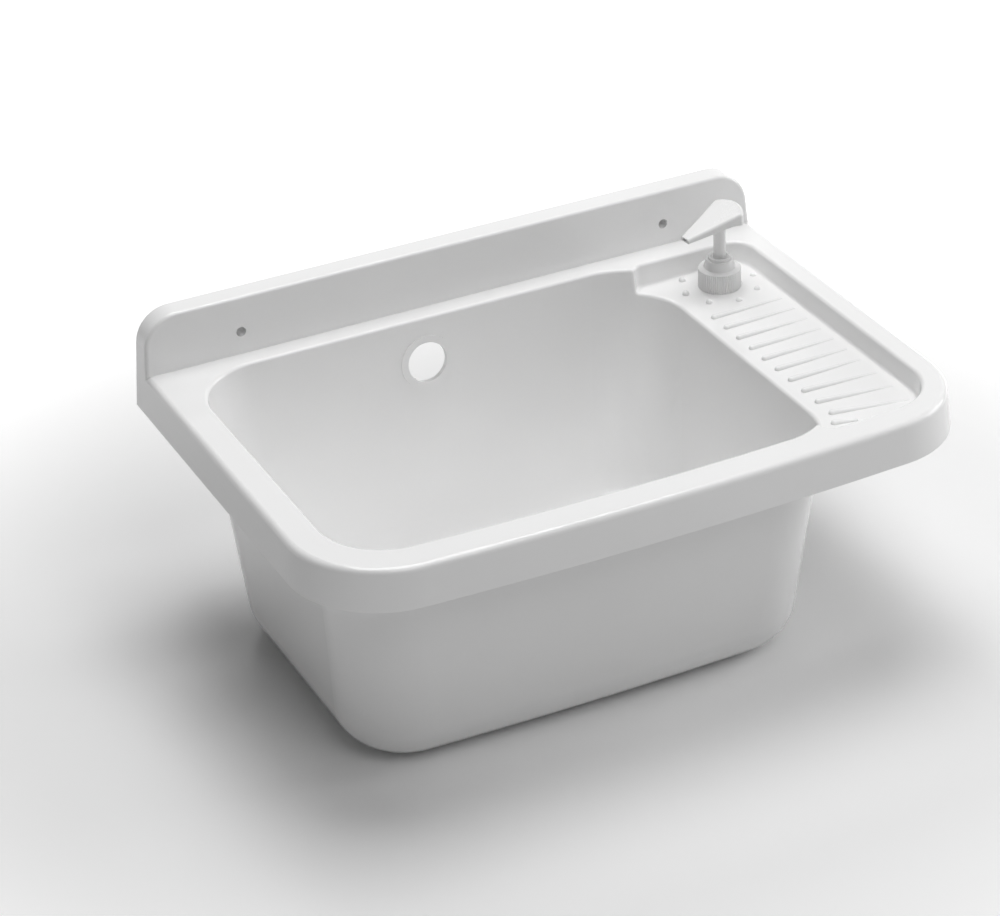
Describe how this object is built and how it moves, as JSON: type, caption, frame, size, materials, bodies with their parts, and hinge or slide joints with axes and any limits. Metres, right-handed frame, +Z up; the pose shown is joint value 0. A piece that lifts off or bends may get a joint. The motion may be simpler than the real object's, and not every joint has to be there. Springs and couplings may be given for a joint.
{
  "type": "utility laundry sink",
  "caption": "White moulded wall-hung laundry sink with a deep tub, a recessed soap shelf with ribs and a built-in press pump with its bottle below.",
  "frame": {"origin": "on the plane of the tub's underside, under the middle of the sink's outline", "axes": "+X to the right as seen from the front, +Y to the wall, +Z up"},
  "size_m": [0.5, 0.3499, 0.2434],
  "materials": {
    "sink_white": "glossy moulded polypropylene",
    "pump_white": "satin moulded polypropylene",
    "bottle_white": "blown polyethylene",
    "piston_natural": "natural polyethylene",
    "gasket_grey": "soft gasket",
    "spring_steel": "drawn stainless wire",
    "ball_steel": "polished ball"
  },
  "bodies": {
    "root": {"sink_basin": "sink_white", "soap_bottle": "bottle_white"},
    "pump_body": {"pump_housing": "pump_white", "lock_collar": "pump_white", "neck_gasket": "gasket_grey", "dip_tube": "piston_natural", "inlet_ball": "ball_steel", "return_spring": "spring_steel"},
    "closure": {"screw_closure": "pump_white"},
    "plunger": {"pump_stem": "pump_white", "piston": "piston_natural", "piston_retainer": "piston_natural", "outlet_ball": "ball_steel"},
    "head": {"pump_head": "pump_white"}
  },
  "joints": [
    {"name": "closure_turn", "type": "hinge", "parent": "pump_body", "child": "closure", "pos_m": [0.1923, 0.1052, 0.19], "axis": [0, 0, 1], "range_deg": [0, 720]},
    {"name": "pump_lift", "type": "slide", "parent": "root", "child": "pump_body", "axis": [0, 0, 1], "range_m": [0, 0.0061]},
    {"name": "head_press", "type": "slide", "parent": "pump_body", "child": "plunger", "axis": [0, 0, -1], "range_m": [0, 0.018], "stiffness_N_per_m": 450, "springref_m": -0.008, "deforming": ["return_spring"]},
    {"name": "head_swivel", "type": "hinge", "parent": "plunger", "child": "head", "pos_m": [0.1923, 0.1052, 0.235], "axis": [0, 0, 1], "continuous": true}
  ],
  "couplings": [
    {"joint": "pump_lift", "follows": "closure_turn", "m_per_rad": 0.00047746}
  ]
}
